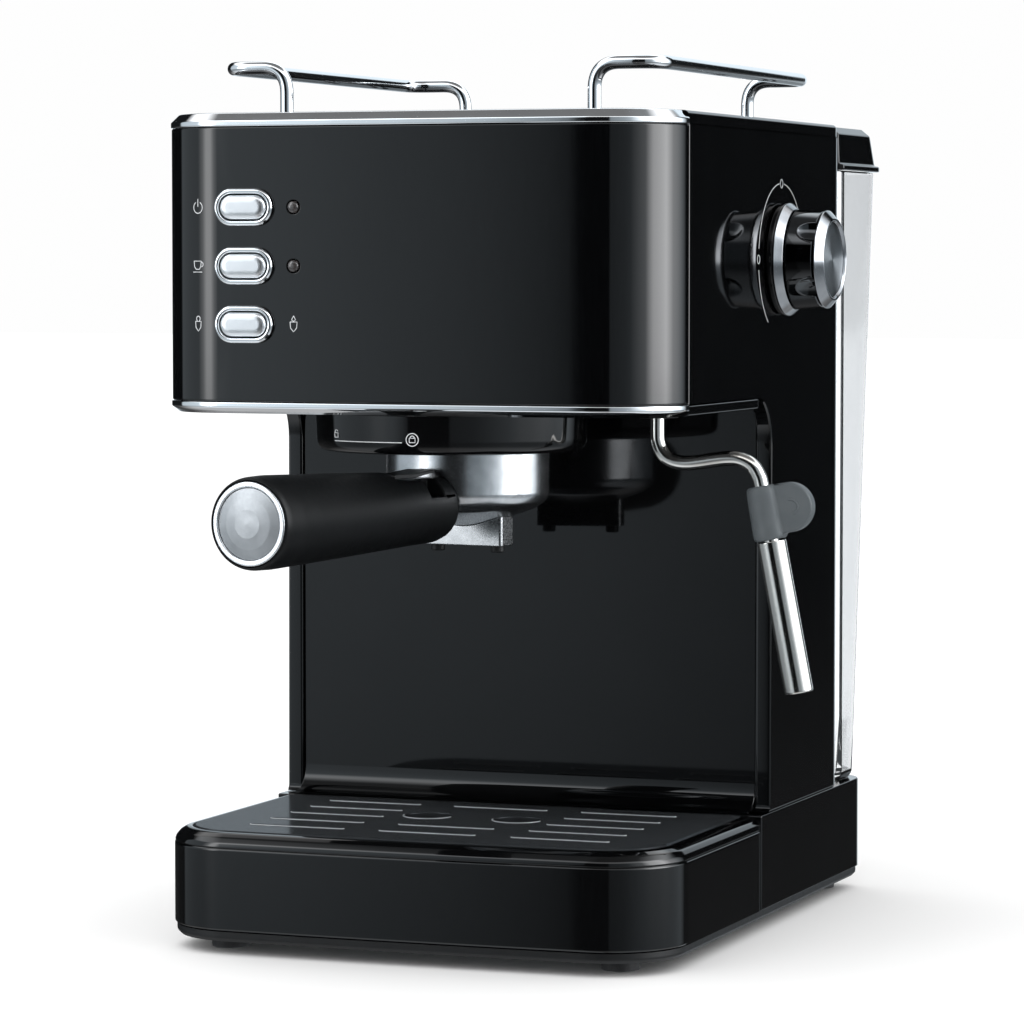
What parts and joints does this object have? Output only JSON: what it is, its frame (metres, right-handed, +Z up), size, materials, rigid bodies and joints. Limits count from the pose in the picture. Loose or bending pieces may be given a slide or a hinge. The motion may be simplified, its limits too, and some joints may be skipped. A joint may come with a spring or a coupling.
{
  "type": "espresso machine",
  "caption": "Compact pump espresso machine: boxy head over a drip tray, locking filter holder, steam wand with side knob, cup rails and rear water tank.",
  "frame": {"origin": "on the worktop, under the middle of the machine's bounding box", "axes": "+X to the side with the steam knob and wand, +Y from the filter holder's handle towards the water tank, +Z up"},
  "size_m": [0.2364, 0.3774, 0.3292],
  "materials": {
    "gloss_black_plastic": "injection-moulded black plastic polished to a piano gloss",
    "satin_black_panel": "black-coated steel sheet with a satin sheen",
    "matte_black_plastic": "fine-textured matt black plastic",
    "chrome": "bright chrome plate",
    "silver_keys": "satin silver plated keys",
    "polished_steel": "polished stainless steel with fine turning marks",
    "aluminium": "cast and machined aluminium",
    "brass": "machined brass",
    "grey_silicone": "moulded grey silicone",
    "black_rubber": "black rubber",
    "silicone_tube": "translucent white silicone",
    "clear_plastic": "clear polished plastic, faintly smoky",
    "lamp_lens": "dark translucent lamp lens, unlit",
    "circuit_board": "green circuit board with black switches",
    "copper_coil": "varnished copper winding"
  },
  "bodies": {
    "machine": {"base_plate": "matte_black_plastic", "foot_front_left": "black_rubber", "foot_front_right": "black_rubber", "foot_rear_left": "black_rubber", "foot_rear_right": "black_rubber", "rear_base": "gloss_black_plastic", "cord_gland": "black_rubber", "body_shell": "gloss_black_plastic", "splash_panel": "gloss_black_plastic", "front_panel": "satin_black_panel", "bottom_trim": "chrome", "top_trim": "chrome", "head_floor": "gloss_black_plastic", "top_cover": "gloss_black_plastic", "cup_rail_left": "chrome", "cup_rail_right": "chrome", "power_button_bezel": "chrome", "brew_button_bezel": "chrome", "steam_button_bezel": "chrome", "power_lamp": "lamp_lens", "ready_lamp": "lamp_lens", "control_board": "circuit_board", "steam_valve": "brass", "group_collar": "gloss_black_plastic", "group_ring": "aluminium", "group_gasket": "black_rubber", "shower_screen": "polished_steel", "boiler_lower": "aluminium", "boiler_upper": "aluminium", "wand_nut": "matte_black_plastic", "pump_body": "matte_black_plastic", "pump_coil": "copper_coil", "pump_bracket": "polished_steel", "suction_hose": "silicone_tube", "pressure_hose": "silicone_tube", "steam_pipe": "polished_steel", "wand_feed_pipe": "polished_steel"},
    "drip_tray": {"drip_tray": "gloss_black_plastic", "tray_fascia": "satin_black_panel"},
    "drip_grid": {"drip_grid": "gloss_black_plastic"},
    "power_button": {"power_button": "silver_keys"},
    "brew_button": {"brew_button": "silver_keys"},
    "steam_button": {"steam_button": "silver_keys"},
    "steam_knob": {"knob_skirt": "chrome", "knob_body": "gloss_black_plastic", "knob_cap": "chrome", "valve_stem": "brass"},
    "portafilter": {"portafilter_bowl": "chrome", "filter_basket": "polished_steel", "spout_cover": "chrome", "twin_spout": "matte_black_plastic", "portafilter_handle": "matte_black_plastic", "handle_end_cap": "chrome"},
    "basket_clip": {"basket_clip": "polished_steel"},
    "steam_wand": {"steam_wand": "chrome", "wand_grip": "grey_silicone"},
    "froth_sleeve": {"froth_sleeve": "polished_steel"},
    "water_tank": {"water_tank": "clear_plastic", "tank_valve": "silicone_tube"},
    "tank_lid": {"tank_lid": "gloss_black_plastic"}
  },
  "joints": [
    {"name": "power_button_press", "type": "slide", "parent": "machine", "child": "power_button", "axis": [0, 1, 0], "range_m": [0, 0.002], "stiffness_N_per_m": 400, "springref_m": -0.0005},
    {"name": "brew_button_press", "type": "slide", "parent": "machine", "child": "brew_button", "axis": [0, 1, 0], "range_m": [0, 0.002], "stiffness_N_per_m": 400, "springref_m": -0.0005},
    {"name": "steam_button_press", "type": "slide", "parent": "machine", "child": "steam_button", "axis": [0, 1, 0], "range_m": [0, 0.002], "stiffness_N_per_m": 400, "springref_m": -0.0005},
    {"name": "steam_knob_turn", "type": "hinge", "parent": "machine", "child": "steam_knob", "pos_m": [0.08209, 0.03431, 0.2556], "axis": [1, 0, 0], "range_deg": [0, 180]},
    {"name": "portafilter_twist", "type": "hinge", "parent": "machine", "child": "portafilter", "pos_m": [-0.01791, -0.03829, 0.1645], "axis": [0, 0, 1], "range_deg": [-35, 9]},
    {"name": "basket_clip_lift", "type": "hinge", "parent": "portafilter", "child": "basket_clip", "pos_m": [-0.0273, -0.09755, 0.1775], "axis": [0.9877, -0.1564, 0], "range_deg": [0, 8]},
    {"name": "wand_swing", "type": "hinge", "parent": "machine", "child": "steam_wand", "pos_m": [0.05809, -0.04129, 0.2], "axis": [0, 0, 1], "range_deg": [-100, 50]},
    {"name": "froth_sleeve_pull", "type": "slide", "parent": "steam_wand", "child": "froth_sleeve", "axis": [0.1908, 0, -0.9816], "range_m": [0, 0.05]},
    {"name": "drip_tray_slide", "type": "slide", "parent": "machine", "child": "drip_tray", "axis": [0, -1, 0], "range_m": [0, 0.15]},
    {"name": "drip_grid_lift", "type": "slide", "parent": "drip_tray", "child": "drip_grid", "axis": [0, 0, 1], "range_m": [0, 0.06]},
    {"name": "water_tank_lift", "type": "slide", "parent": "machine", "child": "water_tank", "axis": [0, 0, 1], "range_m": [0, 0.27]},
    {"name": "tank_lid_open", "type": "hinge", "parent": "water_tank", "child": "tank_lid", "pos_m": [-0.01791, 0.12321, 0.306], "axis": [1, 0, 0], "range_deg": [0, 95]}
  ]
}
